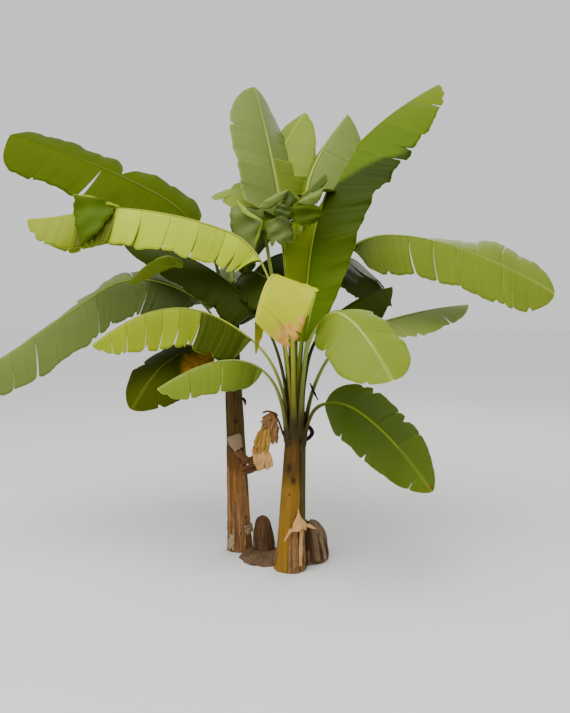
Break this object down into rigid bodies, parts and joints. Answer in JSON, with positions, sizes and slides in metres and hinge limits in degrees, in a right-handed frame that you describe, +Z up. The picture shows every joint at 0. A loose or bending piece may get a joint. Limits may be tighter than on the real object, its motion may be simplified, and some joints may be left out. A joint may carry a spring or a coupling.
{
  "type": "banana plant",
  "caption": "Clump-forming banana plant: stout pseudostems from one root, each topped by a crown of long arching and drooping leaves, their blades slit toward the rib.",
  "frame": {"origin": "centre of the flat cut under the main stem, at ground level", "axes": "+Z up, +X to the right and +Y away from someone looking at the front, which is the pictured side"},
  "size_m": [3.6191, 2.1743, 3.1681],
  "materials": {
    "leaf_green": "satin leaf, yellow-green midrib, fine slanting veins",
    "leaf_yellow": "ageing leaf, pale yellow with a scorched edge",
    "dead": "dry, papery, brown",
    "stem": "overlapping leaf sheaths, olive to brown, streaked"
  },
  "bodies": {
    "root": {"dead_flap": "dead", "dead_leaf": "dead", "dead_sheath": "dead", "dead_stub": "dead", "leaf_back_left_blade": "leaf_green", "leaf_back_left_stalk": "leaf_green", "leaf_dark_left_blade": "leaf_green", "leaf_dark_left_stalk": "leaf_green", "leaf_dark_right_blade": "leaf_green", "leaf_dark_right_stalk": "leaf_green", "leaf_front_low_blade": "leaf_green", "leaf_front_low_stalk": "leaf_green", "leaf_front_right_blade": "leaf_green", "leaf_front_right_stalk": "leaf_green", "leaf_front_yellow_blade": "leaf_yellow", "leaf_front_yellow_stalk": "leaf_yellow", "leaf_furled": "leaf_green", "leaf_left_arch_blade": "leaf_green", "leaf_left_arch_stalk": "leaf_green", "leaf_left_low_blade": "leaf_green", "leaf_left_low_stalk": "leaf_green", "leaf_left_mid_blade": "leaf_green", "leaf_left_mid_stalk": "leaf_green", "leaf_rear_blade": "leaf_green", "leaf_rear_right_blade": "leaf_green", "leaf_rear_right_stalk": "leaf_green", "leaf_rear_stalk": "leaf_green", "leaf_right_arch_blade": "leaf_green", "leaf_right_arch_stalk": "leaf_green", "leaf_right_low_blade": "leaf_green", "leaf_right_low_stalk": "leaf_green", "leaf_top_back": "leaf_green", "leaf_top_left": "leaf_green", "leaf_top_mid_blade": "leaf_green", "leaf_top_mid_stalk": "leaf_green", "leaf_top_right_blade": "leaf_green", "leaf_top_right_stalk": "leaf_green", "root_clump": "dead", "second_leaf_front_blade": "leaf_green", "second_leaf_front_stalk": "leaf_green", "second_leaf_high_blade": "leaf_green", "second_leaf_high_stalk": "leaf_green", "second_leaf_long_blade": "leaf_green", "second_leaf_long_stalk": "leaf_green", "second_leaf_patched_blade": "leaf_green", "second_leaf_patched_stalk": "leaf_green", "second_leaf_rear_blade": "leaf_green", "second_leaf_rear_left_blade": "leaf_green", "second_leaf_rear_left_stalk": "leaf_green", "second_leaf_rear_right_blade": "leaf_green", "second_leaf_rear_right_stalk": "leaf_green", "second_leaf_rear_stalk": "leaf_green", "second_leaf_young": "leaf_green", "stem_main": "stem", "stem_second": "stem", "stump_between": "dead", "stump_right": "dead"}
  },
  "joints": []
}
